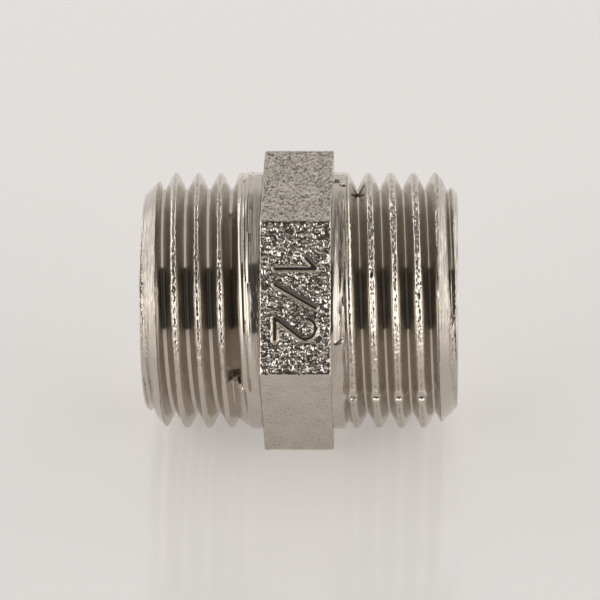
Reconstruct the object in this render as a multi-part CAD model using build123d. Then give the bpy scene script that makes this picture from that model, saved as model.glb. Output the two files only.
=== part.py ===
from build123d import *
import os
from math import ceil, cos, radians, sin, tan

# A hex nipple: two male G 1/2 pipe threads, a spanner hexagon between them, one bore through all three.
# +X runs along the bore and +Z is up. The nipple lies on one flat of its hexagon.
# The origin is on the bore's axis, halfway along the nipple. Sizes are in millimetres, angles in degrees.

# ---- Driving dimensions ----

# The thread is the 55 degree parallel pipe thread, 14 turns to the inch, right-handed at both ends.
pitch = 25.4 / 14
major_diameter = 20.9
crest_flat = 0.25
root_flat = 0.22
flank_angle = 27.5           # each flank leans this far from square to the axis

# Each threaded end, measured outwards from its shoulder against the hexagon.
left_end_length = 9.6
right_end_length = 10.0
neck_length = 0.9            # plain turned band beside the hexagon
left_run_out = 1.8           # the groove's floor climbs to the neck over this length
right_run_out = 0.85
left_groove_lead = 2.53      # shoulder to the groove's middle, straight above the axis
right_groove_lead = 2.04

# The bore, and the flat ring that each end face keeps between its two chamfers.
root_wall = 1.67             # from the bore to the bottom of the thread
bore_chamfer = 0.4
end_ring = 0.8

# The hexagon.
hex_width = 5.6
flat_step = 0.18             # each flat stands this far outside the thread's crests
corner_radius = 0.35
edge_radius = 0.12

# The raised size mark, "1/2", on the flat that faces -Y and up. It reads down the flat.
mark_height = 3.2
mark_stroke = 0.4
mark_rise = 0.18
mark_sink = 0.1              # the strokes start this far inside the flat
mark_flat_angle = 150        # the flat's outward direction, from +Y towards +Z

# ---- Sizes that follow from them ----

flank_slope = tan(radians(flank_angle))
thread_depth = (pitch - crest_flat - root_flat) / (2 * flank_slope)
major_radius = major_diameter / 2
root_radius = major_radius - thread_depth
bore_radius = root_radius - root_wall
end_face_radius = bore_radius + bore_chamfer + end_ring
apothem = major_radius + flat_step
total_length = left_end_length + hex_width + right_end_length
left_shoulder = -total_length / 2 + left_end_length
right_shoulder = left_shoulder + hex_width


def groove_turn():
    """One turn of the thread's groove, as the solid that cuts it.

    Its section is a trapezium: a flat floor at the root radius, and two leaning flanks that carry on
    a little past the crests, where neighbouring turns still stay apart.
    """
    reach = thread_depth + crest_flat / 2
    half_floor = root_flat / 2
    half_mouth = half_floor + reach * flank_slope
    section = make_face(Polyline(
        (0, -half_floor), (reach, -half_mouth), (reach, half_mouth), (0, half_floor), close=True))
    section = Plane(origin=(root_radius, 0, 0), x_dir=(1, 0, 0), z_dir=(0, -1, 0)) * section
    return sweep(section, path=Helix(pitch, pitch, root_radius), is_frenet=True)


def run_out_core(run_out):
    """The metal that the groove never reaches: the full neck, then a cone down past the root."""
    tip_radius = root_radius - root_wall / 2
    tip = neck_length + run_out * (major_radius - tip_radius) / thread_depth
    outline = make_face(Polyline(
        (bore_radius, 0),
        (major_radius, 0),
        (major_radius, neck_length),
        (tip_radius, tip),
        (bore_radius, tip),
        close=True))
    return revolve(Plane.XZ * outline, Axis.Z)


def threaded_end(length, lead, run_out):
    """One bored and threaded end, standing on its shoulder at z = 0 with its free end up."""
    outer_chamfer = major_radius - end_face_radius
    outline = make_face(Polyline(
        (bore_radius, 0),
        (major_radius, 0),
        (major_radius, length - outer_chamfer),
        (end_face_radius, length),
        (bore_radius + bore_chamfer, length),
        (bore_radius, length - bore_chamfer),
        close=True))
    end = revolve(Plane.XZ * outline, Axis.Z)
    half_opening = (pitch - crest_flat) / 2
    start = neck_length - half_opening
    turns = ceil((length + half_opening - start) / pitch)
    first_turn = Pos(0, 0, start) * Rot(0, 0, 360 * (start - lead) / pitch) * groove_turn()
    for turn in range(turns):
        end -= Pos(0, 0, turn * pitch) * first_turn
    return end + run_out_core(run_out)


def size_mark():
    """The strokes of "1/2" as raised bars, centred on the XY plane, with the figures upright along +Y."""
    h = mark_height
    one = Line((-0.72 * h, -h / 2), (-0.72 * h, h / 2)) + Line((-0.72 * h, h / 2), (-0.98 * h, h / 4))
    slash = Line((-0.32 * h, -h / 2), (0.26 * h, h / 2))
    bowl = h / 4
    middle = Vector(0.76 * h, h / 2 - bowl)
    meet = middle + Vector(bowl * cos(radians(-40)), bowl * sin(radians(-40)))
    arc = ThreePointArc(middle + Vector(-bowl, 0), middle + Vector(0, bowl), meet)
    two = arc + Line(meet, (0.49 * h, -h / 2)) + Line((0.49 * h, -h / 2), (1.04 * h, -h / 2))
    strokes = [trace(edge, line_width=mark_stroke) for line in (one, slash, two) for edge in line.edges()]
    return extrude(Sketch() + strokes, amount=mark_sink + mark_rise)


def hex_collar():
    """The spanner hexagon, with a rounded corner between each two flats and the mark on one of them."""
    outline = fillet(RegularPolygon(apothem, 6, major_radius=False).vertices(), corner_radius)
    ends = Plane(origin=(left_shoulder, 0, 0), x_dir=(0, 1, 0), z_dir=(1, 0, 0))
    collar = extrude(ends * outline, amount=hex_width)
    collar = fillet(collar.edges().filter_by(Axis.X, reverse=True), edge_radius)
    facing = Vector(0, cos(radians(mark_flat_angle)), sin(radians(mark_flat_angle)))
    middle = Vector((left_shoulder + right_shoulder) / 2, 0, 0) + facing * (apothem - mark_sink)
    down_the_flat = Vector(1, 0, 0).cross(facing)
    collar = collar + Plane(origin=middle, x_dir=down_the_flat, z_dir=facing) * size_mark()
    return collar - ends * extrude(Circle(bore_radius), amount=hex_width)


os.makedirs("parts", exist_ok=True)
to_the_left = Plane(origin=(left_shoulder, 0, 0), x_dir=(0, 0, 1), z_dir=(-1, 0, 0))
to_the_right = Plane(origin=(right_shoulder, 0, 0), x_dir=(0, 0, 1), z_dir=(1, 0, 0))
nodes = {
    "hex_collar": hex_collar(),
    "threaded_end_left": to_the_left * threaded_end(left_end_length, left_groove_lead, left_run_out),
    "threaded_end_right": to_the_right * threaded_end(right_end_length, right_groove_lead, right_run_out),
}
for name, solid in nodes.items():
    export_step(solid, f"parts/{name}.step")
    print(f"{name}: {solid.volume:.1f} cubic mm")
print(f"bore {2 * bore_radius:.2f} mm, {2 * apothem:.2f} mm across flats, {total_length:.2f} mm long")
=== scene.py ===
# %% [markdown]
# # A hex nipple in nickel-plated brass
#
# A hex nipple joins two pipe fittings. It is one forging: a spanner hexagon in the middle that keeps its
# shot-blasted skin, and a turned and threaded end on each side. The whole body is nickel plated.
# These cells give the nipple its looks. The exact solids are already in the frame, in metres, with +X along the
# bore and +Z up. Each part of the nipple is made again here as a finely divided surface, because what the eye
# reads as metal is in small shapes: rounded crests, torn burrs, blasted grain.

# %% Load the exact model
from math import cos, pi, radians, sin, tan

import bmesh
import bpy
import numpy as np
from mathutils import Matrix, Vector


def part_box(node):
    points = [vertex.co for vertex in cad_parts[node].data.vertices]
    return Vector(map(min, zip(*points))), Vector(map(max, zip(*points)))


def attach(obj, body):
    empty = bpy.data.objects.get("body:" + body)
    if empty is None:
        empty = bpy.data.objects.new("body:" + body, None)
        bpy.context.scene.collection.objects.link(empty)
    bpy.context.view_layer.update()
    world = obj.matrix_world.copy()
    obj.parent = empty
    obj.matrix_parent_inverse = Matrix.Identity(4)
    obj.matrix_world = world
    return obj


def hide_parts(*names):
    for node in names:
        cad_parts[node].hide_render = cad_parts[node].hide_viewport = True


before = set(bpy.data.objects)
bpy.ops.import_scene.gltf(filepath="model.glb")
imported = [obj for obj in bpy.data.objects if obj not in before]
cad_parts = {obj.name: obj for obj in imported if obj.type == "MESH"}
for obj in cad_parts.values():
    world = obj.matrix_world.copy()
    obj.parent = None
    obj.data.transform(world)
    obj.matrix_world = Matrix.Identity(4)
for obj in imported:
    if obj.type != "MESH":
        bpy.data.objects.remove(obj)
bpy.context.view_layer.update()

# %% [markdown]
# ## Sizes
#
# The shapes below are worked out in millimetres, because a thread is dimensioned that way, and only turned into
# metres when a mesh is made. Lengths come from the boxes of the exact parts. The thread's own sizes can't be
# read from a box, so they are named here: the 55 degree pipe thread, 14 turns to the inch.

# %% Sizes of the nipple, in millimetres
MM = 0.001
collar_low, collar_high = (np.array(corner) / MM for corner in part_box("hex_collar"))
left_shoulder, right_shoulder = collar_low[0], collar_high[0]
left_length = left_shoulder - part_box("threaded_end_left")[0].x / MM
right_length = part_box("threaded_end_right")[1].x / MM - right_shoulder
apothem = -collar_low[2]

pitch = 25.4 / 14
major_radius = 10.45
crest_flat, root_flat = 0.25, 0.22
flank_slope = tan(radians(27.5))
thread_depth = (pitch - crest_flat - root_flat) / (2 * flank_slope)
root_radius = major_radius - thread_depth

root_wall = 1.67        # from the bore to the bottom of the thread
bore_chamfer = 0.4
end_ring = 0.8          # the flat ring of each end face, between its two chamfers
bore_radius = root_radius - root_wall
end_face_radius = bore_radius + bore_chamfer + end_ring
print(f"ends {left_length:.2f} and {right_length:.2f} mm, flats {2 * apothem:.2f} mm apart, "
      f"thread {thread_depth:.2f} mm deep")

# %% [markdown]
# ## Grain
#
# Shot-blasting, a cutting die and a spanner all leave marks that are random but smooth. One helper makes them:
# gradient noise, worked out for a whole array of points at once. It is worked out in space, not along the
# surface, so it has no seam where a surface closes on itself.

# %% Smooth random heights in space
def grain(points, size, seed):
    """Smooth random height, about -1 to 1, at each point; its bumps are about `size` millimetres across.

    Space is cut into cubes of that size and each corner gets a random direction. A corner's say at a point is
    that direction dotted with the way from the corner to the point. The eight says are blended along each axis
    by the weight 6t^5 - 15t^4 + 10t^3, which has no kink where one cube meets the next.
    """
    directions = 4096
    draw = np.random.default_rng(seed)
    order = draw.permutation(directions)
    slopes = draw.normal(size=(directions, 3))
    slopes /= np.linalg.norm(slopes, axis=1, keepdims=True)
    scaled = points / size
    cell = np.floor(scaled).astype(int)
    inside = scaled - cell
    weight = inside ** 3 * (inside * (inside * 6 - 15) + 10)
    height = np.zeros(points.shape[:-1])
    for corner in np.ndindex(2, 2, 2):
        at = np.array(corner)
        key = order[(cell[..., 0] + at[0]) % directions]
        key = order[(key + cell[..., 1] + at[1]) % directions]
        key = order[(key + cell[..., 2] + at[2]) % directions]
        say = ((inside - at) * slopes[key]).sum(axis=-1)
        height += say * np.where(at == 1, weight, 1 - weight).prod(axis=-1)
    return 1.6 * height


def soft_min(a, b, reach):
    """The smaller of a and b, with the bend between them rounded while they differ by less than `reach`."""
    return np.minimum(a, b) - np.maximum(reach - np.abs(a - b), 0) ** 2 / (4 * reach)


def soft_max(a, b, reach):
    """The larger of a and b, rounded in the same way."""
    return -soft_min(-a, -b, reach)


def ease(value, low, high):
    """0 below `low`, 1 above `high`, and 3t^2 - 2t^3 between them."""
    t = np.clip((value - low) / (high - low), 0, 1)
    return t * t * (3 - 2 * t)


print("eased from 0 to 1:", ease(np.linspace(0, 1, 5), 0, 1).round(2))

# %% From a grid of points to a closed mesh
merge_distance = 0.0005 * MM
sharp_angle = radians(42)       # edges that bend more than this are shaded sharp


def closed_mesh(name, points, seam_row=None):
    """A closed surface from a grid (row, column, xyz) in millimetres, whose rows and columns both join up.

    Each face has the corners (row, column), (row + 1, column), (row + 1, column + 1), (row, column + 1). At the
    seam, row r of the last column goes on as row seam_row[r] of the first one, so a helix can climb by a turn.
    Points that fall together are merged, and the faces are turned to point outwards if the volume is negative.
    """
    rows, columns = points.shape[:2]
    index = np.arange(rows * columns).reshape(rows, columns)
    across = np.arange(rows) if seam_row is None else seam_row
    wide = np.concatenate([index, index[across, :1]], axis=1)
    tall = np.concatenate([wide, wide[:1]], axis=0)
    quads = np.stack([tall[:-1, :-1], tall[1:, :-1], tall[1:, 1:], tall[:-1, 1:]], axis=-1).reshape(-1, 4)
    mesh = bpy.data.meshes.new(name)
    mesh.from_pydata(points.reshape(-1, 3) * MM, [], quads)
    form = bmesh.new()
    form.from_mesh(mesh)
    bmesh.ops.remove_doubles(form, verts=form.verts, dist=merge_distance)
    if form.calc_volume(signed=True) < 0:
        bmesh.ops.reverse_faces(form, faces=form.faces)
    open_edges = sum(not edge.is_manifold for edge in form.edges)
    form.to_mesh(mesh)
    form.free()
    mesh.shade_smooth()
    mesh.set_sharp_from_angle(angle=sharp_angle)
    piece = bpy.data.objects.new(name, mesh)
    bpy.context.collection.objects.link(piece)
    triangles = sum(len(face.vertices) - 2 for face in mesh.polygons)
    print(f"{name}: {triangles} triangles, {open_edges} open edges")
    return piece


# %% [markdown]
# ## A threaded end
#
# A thread could be a Screw modifier on a tooth profile, but its ends would have to be cut off afterwards, and it
# would be too perfect. Here the whole outside is one height field: a radius for every distance from the shoulder
# and every angle. The lines of the grid follow the helix, so crests and roots stay crisp, and they are closest
# together there. One turn round, each line has moved on by one pitch, and the seam joins it to the line one
# pitch further up.

# %% The two ends
# Distances are from the shoulder: "lead" to the groove's middle straight above the axis, "neck" to the end of the
# plain neck, "run_out" on from there to the groove's full depth, "worn_from" to where the crests begin to be torn.
# "floor" is how wide the groove's floor is, "crest_bend" how far down a crest is rounded, "fold" how deep its fold.
left_end = {"name": "threaded_end_left", "outward": -1, "shoulder": left_shoulder, "length": left_length,
            "lead": 2.53, "neck": 0.9, "run_out": 1.8, "worn_from": 1.6,
            "floor": 0.28, "crest_bend": 0.2, "fold": 0.06}
right_end = {"name": "threaded_end_right", "outward": 1, "shoulder": right_shoulder, "length": right_length,
             "lead": 2.04, "neck": 0.9, "run_out": 0.85, "worn_from": 1.25,
             "floor": 0.15, "crest_bend": 0.3, "fold": 0.1}


def height_angle(turn, end):
    """Degrees from straight ahead (-Y) upwards, between -180 and 180, of a point `turn` turns from the top."""
    return (90 - end["outward"] * 360 * turn + 180) % 360 - 180


print(f"grooves start {left_end['lead']} and {right_end['lead']} mm out, straight above the axis")

# %% The thread, as a radius
def thread_radius(s, turn, end):
    """Radius of the groove's walls at s millimetres from the shoulder, `turn` turns round from the top.

    d is the distance to the nearest groove middle; groove middles lie at lead + pitch * (turn + any whole number).
    The height above the root is (d - half the root flat) / tan(27.5 degrees), kept between nought and the
    thread's depth with both bends rounded. The last groove is deeper where it leaves through the chamfer, and the
    left end's first one is cut to a sharp V over the front, so its lower limit is where the two walls meet.
    Along the middle of each crest runs a narrow fold, where the metal squeezed up from both walls has met.
    """
    phase = (s - end["lead"]) / pitch - turn
    d = pitch * np.abs(phase - np.round(phase))
    flank = (d - end["floor"] / 2) / flank_slope
    last_groove = ease(s, end["length"] - 1.1, end["length"] - 0.6)
    deeper = 0.3 * last_groove
    lowest = 0.0
    if end is left_end:
        face = height_angle(turn, end)
        over_front = ease(face, -13, -10) * (1 - ease(face, 76, 79))
        lowest = -end["floor"] / 2 / flank_slope * over_front * (s < 3)
    height = soft_max(soft_min(flank, thread_depth + deeper, end["crest_bend"]), lowest, reach=0.03)
    fold = end["fold"] * np.exp(-((pitch / 2 - d) / 0.05) ** 2)
    return root_radius - deeper + height - fold


# %% The run-outs, as a radius
def neck_and_cone(s, end):
    """The plain neck, then a cone that falls by the thread's depth over the run-out."""
    return major_radius - np.maximum(s - end["neck"], 0) * thread_depth / end["run_out"]


def burr_line(s):
    """The angle in degrees at which the die let go of the left groove, a ragged line across it."""
    return np.interp(s, (1.3, 1.6, 1.9, 2.2, 2.6), (-16, -14.5, -11.2, -11.6, -10.2))


def left_run_out(s, turn, end):
    """Radius that the die left beside the left shoulder.

    A cone falls from the neck to the root. Over the front the die went past it: there the groove has a bevelled
    last crest, which a small notch parts from the neck. These lines climb with the thread, so they are laid out
    in u = s - pitch * (angle - 29 degrees) / 360. The neck itself is crowned: it falls by 0.07 * t^2, with t from
    -1 to 1 across it.
    """
    face = height_angle(turn, end)
    u = s - pitch * (face - 29) / 360
    wall = major_radius - np.interp(u, (0.88, 1.13, 1.2, 1.42, 1.74, 1.82, 2.1),
                                    (0, 0.17, 0.03, 0.03, 0.25, 0.7, 1.8))
    burr = burr_line(s)
    cut = ease(face, burr - 1, burr + 1) * (1 - ease(face, 140, 155))
    half_neck = end["neck"] / 2
    crown = 0.07 * np.minimum((s / half_neck - 1) ** 2, 1) * (s < end["neck"])
    return neck_and_cone(s, end) * (1 - cut) + wall * cut - crown


def right_run_out(s, turn, end):
    """Radius beside the right shoulder: the neck, a short cone, and a bevelled step turned into the front.

    The step begins at a small slanting ledge and dies out towards the top.
    """
    face = height_angle(turn, end)
    step = np.interp(s, (0.2, 0.7, 1.0), (0, 0.32, 0))
    above_ledge = ease(face, 8 + 3 * s, 9.6 + 3 * s)
    return neck_and_cone(s, end) - step * above_ledge * (1 - ease(face, 55, 88))


# %% Marks of the die, the tool and the tray
def bump_at(s, face, where, size):
    """1 at a spot, falling off as exp(-(distance / size)^2); where = (distance from shoulder, degrees)."""
    away = (face - where[1] + 180) % 360 - 180
    return np.exp(-((s - where[0]) ** 2 + (radians(1) * major_radius * away) ** 2) / size ** 2)


def marks(s, turn, end, points):
    """Hollows in millimetres: on the left the burr where the die let go; on the right chips and four ring nicks."""
    face = height_angle(turn, end)
    torn = 0.5 + 0.5 * grain(points, size=0.2, seed=31)
    if end is left_end:
        across = np.exp(-((face - burr_line(s)) / 0.8) ** 2)
        return 0.5 * across * ease(s, 1.35, 1.5) * (1 - ease(s, 2.6, 2.75)) * (0.7 + 0.5 * torn)
    hollow = 1.3 * ease(bump_at(s, face, (2.08, 96.5), 0.5) * (0.35 + torn), 0.42, 0.6)
    hollow += 0.45 * ease(bump_at(s, face, (0.3, 95), 0.5) * (0.3 + torn), 0.35, 0.6)
    hollow += 0.35 * ease(bump_at(s, face, (0.8, 91), 0.3) * (0.3 + torn), 0.35, 0.6)
    for nicked_crest in range(4):
        spot = (1.69 + nicked_crest * pitch, -19.5)
        ring = bump_at(s, face, spot, 0.46) - bump_at(s, face, spot, 0.33)
        hollow += 0.35 * bump_at(s, face, spot, 0.26) - 1.5 * ring
    return hollow


def crest_wear(points, uncut, cap):
    """How far the die has torn the crests down: beads, short along X and longer round the axis, and a slow ripple.

    Only the top of the thread is torn, where the uncut radius comes near the cap, and on the chamfer only a narrow
    strip beside the groove. It is never torn outwards, so the crests keep their diameter.
    """
    near_crest = ease(uncut, cap - 0.22, cap - 0.03) * (1 - ease(uncut, cap + 0.03, cap + 0.16))
    beads = grain(points * (1.5, 1, 1), size=0.21, seed=11)
    patches = ease(grain(points, size=3.0, seed=12), -0.5, 0.4)
    ripple = grain(points, size=1.7, seed=13)
    return near_crest * (0.085 * (0.45 + 0.55 * patches) * (1 + beads) + 0.01 * (1 + ripple))


# %% Build both threaded ends
lines_per_pitch = 24
columns = 680
crowding = 0.6


def end_radius(s, turn, end, place):
    """The larger of thread and run-out, capped by the 45 degree chamfer, less the wear and every mark."""
    run_out = left_run_out if end is left_end else right_run_out
    uncut = soft_max(thread_radius(s, turn, end), run_out(s, turn, end), reach=0.03)
    chamfer = end_face_radius + end["length"] - s
    radius = soft_min(np.minimum(uncut, major_radius), chamfer, reach=0.05)
    points = place(s, radius)
    wear = crest_wear(points, uncut, np.minimum(chamfer, major_radius))
    wear *= ease(s, end["worn_from"], end["worn_from"] + 0.3)
    return np.minimum(radius - wear - marks(s, turn, end, points), major_radius)


def threaded_end(end):
    """The closed surface of one end: bore, shoulder ring, helical outside, end ring and inner chamfer.

    Line j of the outside has the phase p - crowding * sin(4 pi p) / (4 pi) turns, with p = j / lines per pitch,
    which crowds the lines at the crests and roots. Its distance from the shoulder is
    lead + pitch * (phase + turn), kept between the shoulder and the end face. The point is at that distance
    along X, and at the radius above, turned round the axis.
    """
    length, outward = end["length"], end["outward"]
    first = int(np.floor(-end["lead"] / pitch)) - 1
    last = int(np.ceil((length - end["lead"]) / pitch))
    p = np.arange(lines_per_pitch * (last - first) + 1) / lines_per_pitch
    phase = first + p - crowding * np.sin(4 * pi * p) / (4 * pi)
    turn = np.arange(columns) / columns
    angle = 2 * pi * turn

    def place(s, radius):
        return np.stack([end["shoulder"] + outward * s,
                         -outward * radius * np.sin(angle), radius * np.cos(angle)], axis=-1)

    s = np.clip(end["lead"] + pitch * (phase[:, None] + turn), 0, length)
    outside = place(s, end_radius(s, turn, end, place))

    # The rest of the loop runs round in plain rings: (distance from the shoulder, radius).
    rings_in = [(0, bore_radius), (0, bore_radius + 1)]
    rings_out = [(length, end_face_radius - 0.05), (length, end_face_radius - end_ring / 2),
                 (length, bore_radius + bore_chamfer),
                 (length - bore_chamfer, bore_radius), (length - 0.5, bore_radius), (length / 2, bore_radius)]
    plain = [place(np.full((1, columns), a), np.full((1, columns), b)) for a, b in rings_in + rings_out]
    points = np.concatenate(plain[:len(rings_in)] + [outside] + plain[len(rings_in):])
    seam_row = np.arange(len(points))
    helical = slice(len(rings_in), len(rings_in) + len(p))
    seam_row[helical] = np.minimum(seam_row[helical] + lines_per_pitch, helical.stop - 1)
    return closed_mesh(end["name"] + "_surface", points, seam_row)


left_piece, right_piece = threaded_end(left_end), threaded_end(right_end)

# %% [markdown]
# ## The hexagon
#
# The hexagon keeps its forged skin, blasted with shot before plating: a grain of smooth pits about a quarter of
# a millimetre across. A bump map could fake it, but the grain is coarse enough to see in profile, so it is in
# the surface. The size mark is raised in the same surface, as a height above the flat.

# %% The size mark, as a distance from its strokes
mark_height, mark_stroke, mark_rise = 3.2, 0.4, 0.18


def to_line(across, up, start, end):
    """Distance from each point to a straight stroke: to its nearest point, start + t (end - start), t in 0..1."""
    along = np.subtract(end, start)
    t = np.clip(((across - start[0]) * along[0] + (up - start[1]) * along[1]) / (along @ along), 0, 1)
    return np.hypot(across - start[0] - t * along[0], up - start[1] - t * along[1])


def mark_distance(across, up):
    """Distance to the nearest stroke of "1/2", figures upright along `up`, both in millimetres from the middle.

    The bowl of the 2 is an arc: inside its angles the distance is |distance to its centre - its radius|.
    """
    h = mark_height
    bowl, centre = h / 4, (0.76 * h, h / 4)
    meet = (centre[0] + bowl * cos(radians(-40)), centre[1] + bowl * sin(radians(-40)))
    strokes = [((-0.72 * h, -h / 2), (-0.72 * h, h / 2)), ((-0.72 * h, h / 2), (-0.98 * h, h / 4)),
               ((-0.32 * h, -h / 2), (0.26 * h, h / 2)),
               (meet, (0.49 * h, -h / 2)), ((0.49 * h, -h / 2), (1.04 * h, -h / 2))]
    nearest = np.min([to_line(across, up, a, b) for a, b in strokes], axis=0)
    angle = np.degrees(np.arctan2(up - centre[1], across - centre[0]))
    arc = np.abs(np.hypot(across - centre[0], up - centre[1]) - bowl)
    on_arc = (angle > -40) | (angle < -179)
    return np.minimum(nearest, np.where(on_arc, arc, np.inf))


# %% The rounded hexagon's outline
corner_radius, edge_radius = 0.35, 0.12
mark_flat = 150         # the outward direction of the flat with the mark, in degrees from +Y towards +Z
grain_depth = 0.11


def hexagon_outline(points_on_mark_flat, points_on_flat, points_on_corner):
    """Points round a rounded hexagon: their (y, z), their outward direction, and how far along its flat each is.

    A flat whose outward direction is at angle a has the points apothem * (cos a, sin a) + t * (-sin a, cos a).
    Between two flats, a corner is an arc of the corner radius about ((apothem - radius) / cos 30 degrees) out.
    """
    half = (apothem - corner_radius) * tan(radians(30))
    at, facing, along, flat = [], [], [], []
    for degrees in range(30, 390, 60):
        a = radians(degrees)
        count = points_on_mark_flat if degrees == mark_flat else points_on_flat
        t = np.linspace(-half, half, count)
        at.append(apothem * np.array([cos(a), sin(a)]) + t[:, None] * np.array([-sin(a), cos(a)]))
        facing.append(np.broadcast_to([cos(a), sin(a)], (count, 2)))
        along.append(t)
        flat.append(np.full(count, degrees))
        b = a + radians(60) * np.arange(1, points_on_corner) / points_on_corner
        out = np.stack([np.cos(b), np.sin(b)], axis=-1)
        middle = (apothem - corner_radius) / cos(radians(30)) * np.array([cos(a + pi / 6), sin(a + pi / 6)])
        at.append(middle + corner_radius * out)
        facing.append(out)
        along.append(np.full(len(b), half))
        flat.append(np.full(len(b), 0))
    return np.concatenate(at), np.concatenate(facing), np.concatenate(along), np.concatenate(flat)


# %% Build the hexagon
def hex_collar():
    """The closed surface of the hexagon: out along one side face, over the flats, in along the other, and the bore.

    On the flats a point is outline point + outward direction * height. Away from the mark, height = grain depth *
    (pits - 0.6), with the pits clipped to -1..0.6, so nothing stands outside the flat; on the mark it is the mark's
    rise. The grain is calmer by the edges and round the mark.
    The edge between a flat and a side face is a quarter circle of the edge radius. On a side face the points go
    in a straight line from the outline to the point of the bore's circle at the same angle.
    """
    at, facing, along, flat = hexagon_outline(points_on_mark_flat=190, points_on_flat=140, points_on_corner=5)
    width = right_shoulder - left_shoulder
    bend = np.radians(np.linspace(0, 90, 5))[1:-1]
    over = np.linspace(edge_radius, width - edge_radius, 80)
    x = np.concatenate([edge_radius * (1 - np.cos(bend)), over, width - edge_radius * (1 - np.cos(bend[::-1]))])
    sunk = np.concatenate([edge_radius * (1 - np.sin(bend)), 0 * over, edge_radius * (1 - np.sin(bend[::-1]))])

    base = np.empty((len(x), len(at), 3))
    base[..., 0] = left_shoulder + x[:, None]
    base[..., 1:] = at - sunk[:, None, None] * facing
    pits = grain(base, size=0.2, seed=21) + 0.3 * grain(base, size=0.45, seed=22)
    from_edge = np.minimum(np.minimum(x, width - x)[:, None], along.max() - np.abs(along))
    off_mark = mark_distance(*np.meshgrid(along, x - width / 2))
    off_mark = np.where(flat == mark_flat, off_mark - mark_stroke / 2, 1)
    on_mark = 1 - ease(off_mark, -0.08, 0.11)
    calm = (0.3 + 0.7 * ease(from_edge, 0, 0.14)) * ease(off_mark, 0.05, 0.2)
    lift = mark_rise * on_mark + grain_depth * (calm * np.clip(pits, -1, 0.6) - 0.6 * (1 - on_mark))
    base[..., 1:] += lift[..., None] * facing

    angle = np.arctan2(at[:, 1], at[:, 0])
    circle = bore_radius * np.stack([np.cos(angle), np.sin(angle)], axis=-1)
    rim = at - edge_radius * facing

    def side_face(face_x, share):
        ring = np.empty((1, len(at), 3))
        ring[..., 0] = face_x
        ring[..., 1:] = rim + share * (circle - rim)
        return ring

    shares = (1, 0.6, 0.3, 0.12, 0)
    return closed_mesh("hex_collar_surface", np.concatenate(
        [side_face(left_shoulder, share) for share in shares] + [base]
        + [side_face(right_shoulder, share) for share in shares[::-1]]))


collar_piece = hex_collar()

# %% [markdown]
# ## Finishes
#
# Nickel is a metal with a faintly warm white of its own. In a deep thread the light bounces two or three times
# before it leaves, and each bounce multiplies that warmth, which is why grooves look brown without any dirt.
# So both finishes share one narrow range of colour, and differ in roughness and in the pattern of their fine bump.

# %% Small helpers for shader nodes
def calculate(tree, operation, a, b=0.0, c=0.0):
    """One step of arithmetic. Each of a, b and c is a number or another node's output."""
    node = tree.nodes.new("ShaderNodeMath")
    node.operation = operation
    for socket, value in zip(node.inputs, (a, b, c)):
        if isinstance(value, (int, float)):
            socket.default_value = value
        else:
            tree.links.new(value, socket)
    return node.outputs[0]


def new_material(name):
    """A metallic material, its tree and shader, and its object coordinates, whole and as x, y and z."""
    material = bpy.data.materials.new(name)
    material.use_nodes = True
    tree = material.node_tree
    shader = tree.nodes["Principled BSDF"]
    shader.inputs["Metallic"].default_value = 1.0
    place = tree.nodes.new("ShaderNodeTexCoord").outputs["Object"]
    split = tree.nodes.new("ShaderNodeSeparateXYZ")
    tree.links.new(place, split.inputs[0])
    return material, tree, shader, place, split.outputs


def noise(tree, vector, scale, detail):
    """Blender's own noise, in bumps of 1/scale metres, as a value from 0 to 1."""
    node = tree.nodes.new("ShaderNodeTexNoise")
    node.inputs["Scale"].default_value = scale
    node.inputs["Detail"].default_value = detail
    tree.links.new(vector, node.inputs["Vector"])
    return node.outputs["Fac"]


def spread(tree, value, low, high):
    """A noise value stretched from the range that it mostly keeps to, 0.3 to 0.7, onto low..high."""
    node = tree.nodes.new("ShaderNodeMapRange")
    for socket, number in zip(("From Min", "From Max", "To Min", "To Max"), (0.3, 0.7, low, high)):
        node.inputs[socket].default_value = number
    tree.links.new(value, node.inputs["Value"])
    return node.outputs["Result"]


def between(tree, value, low, high):
    """A value's place between low and high as 0 to 1, kept inside and eased at both ends."""
    node = tree.nodes.new("ShaderNodeMapRange")
    node.interpolation_type = "SMOOTHSTEP"
    node.inputs["From Min"].default_value = low
    node.inputs["From Max"].default_value = high
    tree.links.new(value, node.inputs["Value"])
    return node.outputs["Result"]


def tint(tree, value, dark, light, shader):
    """The shader's colour, between two colours as the value goes from 0.3 to 0.7."""
    ramp = tree.nodes.new("ShaderNodeValToRGB")
    ramp.color_ramp.elements[0].color = (*dark, 1)
    ramp.color_ramp.elements[1].color = (*light, 1)
    ramp.color_ramp.elements[0].position = 0.3
    ramp.color_ramp.elements[1].position = 0.7
    tree.links.new(value, ramp.inputs["Fac"])
    tree.links.new(ramp.outputs["Color"], shader.inputs["Base Color"])


def bump(tree, shader, height, distance, under=None):
    """A bump of that height, at most `distance` metres, on top of another bump if one is given."""
    node = tree.nodes.new("ShaderNodeBump")
    node.inputs["Distance"].default_value = distance
    tree.links.new(height, node.inputs["Height"])
    if under is not None:
        tree.links.new(under, node.inputs["Normal"])
    tree.links.new(node.outputs["Normal"], shader.inputs["Normal"])
    return node.outputs["Normal"]


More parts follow.
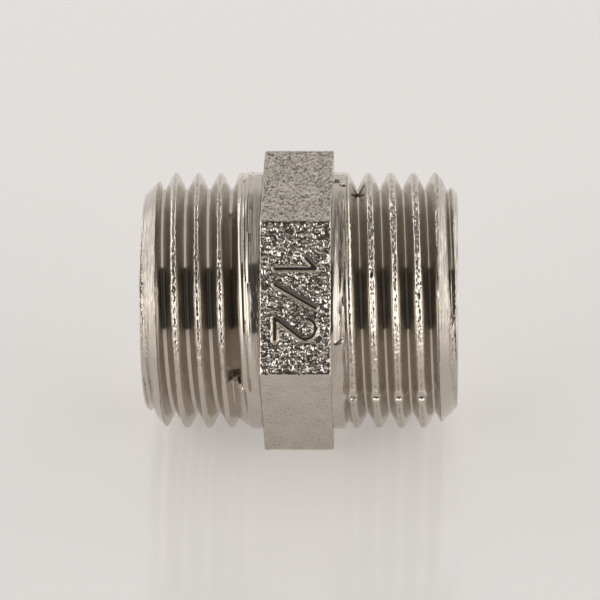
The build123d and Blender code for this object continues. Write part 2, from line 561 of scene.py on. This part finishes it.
# %% Blasted nickel on the hexagon
def forged_nickel():
    """Satin nickel: small pits between those of the surface, fine frosting in them, and a slow change of tint."""
    material, tree, shader, place, (_, y, z) = new_material("blasted_nickel")
    frosting = noise(tree, place, scale=9000, detail=3)
    patches = noise(tree, place, scale=700, detail=2)
    tint(tree, patches, (0.545, 0.497, 0.436), (0.615, 0.562, 0.497), shader)
    tree.links.new(spread(tree, frosting, low=0.05, high=0.13), shader.inputs["Roughness"])

    # The raised mark stands clear of the grain: height over the flat is y cos 150 + z sin 150 - the apothem.
    over_flat = calculate(tree, "MULTIPLY_ADD", y, cos(radians(mark_flat)),
                          calculate(tree, "MULTIPLY", z, sin(radians(mark_flat))))
    off_mark = between(tree, over_flat, (apothem + 0.1) * MM, (apothem + 0.02) * MM)
    pits = calculate(tree, "MULTIPLY", noise(tree, place, scale=4600, detail=1), off_mark)
    pitted = bump(tree, shader, pits, distance=0.00003)
    bump(tree, shader, frosting, distance=0.000006, under=pitted)
    return material


# %% Turned nickel on the ends
def turned_nickel():
    """Bright nickel with the tool's fine lines round the axis: noise of x and the radius, and hardly of z."""
    material, tree, shader, place, (x, y, z) = new_material("tooled_nickel")
    radius = calculate(tree, "SQRT", calculate(tree, "ADD", calculate(tree, "MULTIPLY", y, y),
                                               calculate(tree, "MULTIPLY", z, z)))
    lines = tree.nodes.new("ShaderNodeCombineXYZ")
    for value, socket in zip((x, radius, calculate(tree, "MULTIPLY", z, 0.03)), lines.inputs):
        tree.links.new(value, socket)
    tool_lines = noise(tree, lines.outputs[0], scale=14000, detail=2)
    patches = noise(tree, place, scale=900, detail=3)
    tint(tree, patches, (0.55, 0.502, 0.438), (0.61, 0.558, 0.49), shader)
    # The tool's lines are deepest on the chamfers, where |x| + radius reaches 21.2 mm. They are finer on the necks,
    # within 4.1 mm of the middle, and in the bore, and faint in the thread.
    off_middle = calculate(tree, "ABSOLUTE", x)
    neck = between(tree, off_middle, 0.0041, 0.0038)
    chamfer = between(tree, calculate(tree, "ADD", off_middle, radius), 0.0211, 0.0213)
    bored = between(tree, radius, 0.0078, 0.0076)
    cut = calculate(tree, "MAXIMUM", calculate(tree, "MULTIPLY", neck, 0.32),
                    calculate(tree, "MAXIMUM", calculate(tree, "MULTIPLY", chamfer, 1.2),
                              calculate(tree, "MULTIPLY", bored, 0.2)))
    coarse = calculate(tree, "ADD", cut, 0.03)

    # A die leaves the walls of a groove duller than its floor and the crests.
    wall = calculate(tree, "MULTIPLY", between(tree, radius, (root_radius + 0.05) * MM, (root_radius + 0.15) * MM),
                     between(tree, radius, (major_radius - 0.12) * MM, (major_radius - 0.3) * MM))
    threaded = calculate(tree, "SUBTRACT", 1.0, calculate(tree, "MAXIMUM", neck, chamfer))
    dull = calculate(tree, "MULTIPLY", wall, threaded)
    tree.links.new(calculate(tree, "MULTIPLY_ADD", dull, 0.15, spread(tree, patches, low=0.04, high=0.1)),
                   shader.inputs["Roughness"])
    bump(tree, shader, calculate(tree, "MULTIPLY", tool_lines, coarse), distance=0.00008)
    return material


blasted, turned = forged_nickel(), turned_nickel()
for piece, node, slot, material in (
        (collar_piece, "hex_collar", "forged_nickel", blasted),
        (left_piece, "threaded_end_left", "turned_nickel", turned),
        (right_piece, "threaded_end_right", "turned_nickel", turned)):
    piece.data.materials.append(material)
    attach(piece, "root")
    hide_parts(node)
    print(piece.name, "wears", material.name)

# %% The hexagon's share of the bore is turned, not forged
collar_mesh = collar_piece.data
collar_mesh.materials.append(turned)
middles = np.empty(3 * len(collar_mesh.polygons))
collar_mesh.polygons.foreach_get("center", middles)
off_axis = np.hypot(middles[1::3], middles[2::3])
in_bore = off_axis < (bore_radius + 0.1) * MM
collar_mesh.polygons.foreach_set("material_index", in_bore.astype(np.int32))
print(in_bore.sum(), "faces of the bore are turned")

# %% [markdown]
# ## The floor and the studio
#
# The nipple lies on a glossy white sheet. Metal shows little but what it reflects, so the light is laid out by
# direction: a white ceiling and back, a bright panel at each side, and a dark room in front. Lamps could do it too,
# but a sky that depends on direction gives clean edges with nothing that could be seen by mistake. The sheet glows
# a little by itself, so it stays pale without a lamp that would put a second highlight on the metal.

# %% The sheet it lies on
def floor():
    """A square sheet, one metre to each side, at the height of the lowest flat."""
    mesh = bpy.data.meshes.new("floor")
    size, z = 1.0, -apothem * MM
    mesh.from_pydata([(-size, -size, z), (size, -size, z), (size, size, z), (-size, size, z)], [], [(0, 1, 2, 3)])
    sheet = bpy.data.objects.new("floor", mesh)
    bpy.context.collection.objects.link(sheet)
    material = bpy.data.materials.new("white_sheet")
    material.use_nodes = True
    shader = material.node_tree.nodes["Principled BSDF"]
    shader.inputs["Base Color"].default_value = (0.76, 0.739, 0.721, 1)
    shader.inputs["Emission Color"].default_value = (1, 0.958, 0.93, 1)
    shader.inputs["Emission Strength"].default_value = 0.322
    shader.inputs["Roughness"].default_value = 0.13
    mesh.materials.append(material)
    return sheet


sheet = floor()
print("the sheet lies at", round(sheet.data.vertices[0].co.z / MM, 2), "mm")

# %% Light by direction
def studio_sky():
    """Brightness by direction (x, y, z): the brighter of a ceiling and a side panel, plus a little from the room.

    The ceiling begins about 62 degrees up from the front, goes on over to the back, and dims to the sides of
    straight overhead. A side panel is where |x| is above 0.6 and z below 0.47; it is brightest in front, and
    weaker near |x| = 1 and towards the back. The room adds a little from everywhere, least where x is near 0.
    The camera itself sees a plain pale background.
    """
    world = bpy.data.worlds.new("studio")
    bpy.context.scene.world = world
    world.use_nodes = True
    tree = world.node_tree
    background = tree.nodes["Background"]
    direction = tree.nodes.new("ShaderNodeTexCoord").outputs["Generated"]
    split = tree.nodes.new("ShaderNodeSeparateXYZ")
    tree.links.new(direction, split.inputs[0])
    x, y, z = split.outputs
    rise = calculate(tree, "ARCTAN2", z, calculate(tree, "MULTIPLY", y, -1.0))

    side = calculate(tree, "ABSOLUTE", x)
    ceiling = calculate(tree, "MULTIPLY", between(tree, rise, radians(61), radians(64)), 0.68)
    overhead_sides = calculate(tree, "MULTIPLY", between(tree, side, 0.06, 0.22), between(tree, z, 0.45, 0.7))
    dimmer = calculate(tree, "MULTIPLY_ADD", overhead_sides, -0.85, 1.0)
    panel = calculate(tree, "MULTIPLY", between(tree, side, 0.5, 0.68), between(tree, z, 0.52, 0.42))
    strength = calculate(tree, "MULTIPLY_ADD", between(tree, side, 0.84, 0.98), -0.6, 2.2)
    strength = calculate(tree, "MULTIPLY_ADD", between(tree, y, 0.2, 0.6), -0.5, strength)
    light = calculate(tree, "MAXIMUM", calculate(tree, "MULTIPLY", panel, strength),
                      calculate(tree, "MULTIPLY", ceiling, dimmer))
    room = calculate(tree, "MULTIPLY_ADD", between(tree, side, 0.06, 0.2), 0.06, 0.045)
    light = calculate(tree, "ADD", light, room)
    seen = tree.nodes.new("ShaderNodeLightPath").outputs["Is Camera Ray"]
    light = calculate(tree, "MAXIMUM", light, calculate(tree, "MULTIPLY", seen, 0.7))
    tree.links.new(light, background.inputs["Strength"])
    background.inputs["Color"].default_value = (1, 0.985, 0.97, 1)
    return world


studio = studio_sky()
print("the studio's sky has", len(studio.node_tree.nodes), "nodes")

# %% [markdown]
# ## The camera
#
# A long lens from 0.3 m, looking down at 29 degrees and from two degrees to the right. A camera that tracks its
# target would show the bore's axis tilted, so this one is turned to keep the axis level in its view.

# %% Camera
def camera(sideways, elevation, distance, target, lens):
    """A camera that keeps the bore's axis level in its view.

    Its up direction is (0, sin e, cos e). It stands back from the target along
    cos(b) * (0, -cos e, sin e) + sin(b) * (1, 0, 0), so b is how far it has moved sideways.
    """
    b, e = radians(sideways), radians(elevation)
    up = Vector((0, sin(e), cos(e)))
    back = Vector((sin(b), -cos(b) * cos(e), cos(b) * sin(e)))
    stance = Matrix((up.cross(back), up, back)).transposed()
    data = bpy.data.cameras.new("camera")
    data.lens, data.sensor_width = lens, 36
    data.clip_start, data.clip_end = 0.01, 20
    eye = bpy.data.objects.new("camera", data)
    bpy.context.collection.objects.link(eye)
    eye.matrix_world = Matrix.Translation(Vector(target) + distance * back) @ stance.to_4x4()
    bpy.context.scene.camera = eye
    return eye


eye = camera(sideways=1.85, elevation=29, distance=0.301, target=(-0.00016, 0, 0.00002), lens=222)
bpy.context.scene.view_settings.view_transform = "Standard"
print("the camera stands", round(eye.matrix_world.translation.length / MM), "mm from the nipple's middle")

# %% [markdown]
# ## Done
#
# The looks must not change the nipple's size. The last cell only brings the scene up to date.

# %% Bring the scene up to date
bpy.context.view_layer.update()
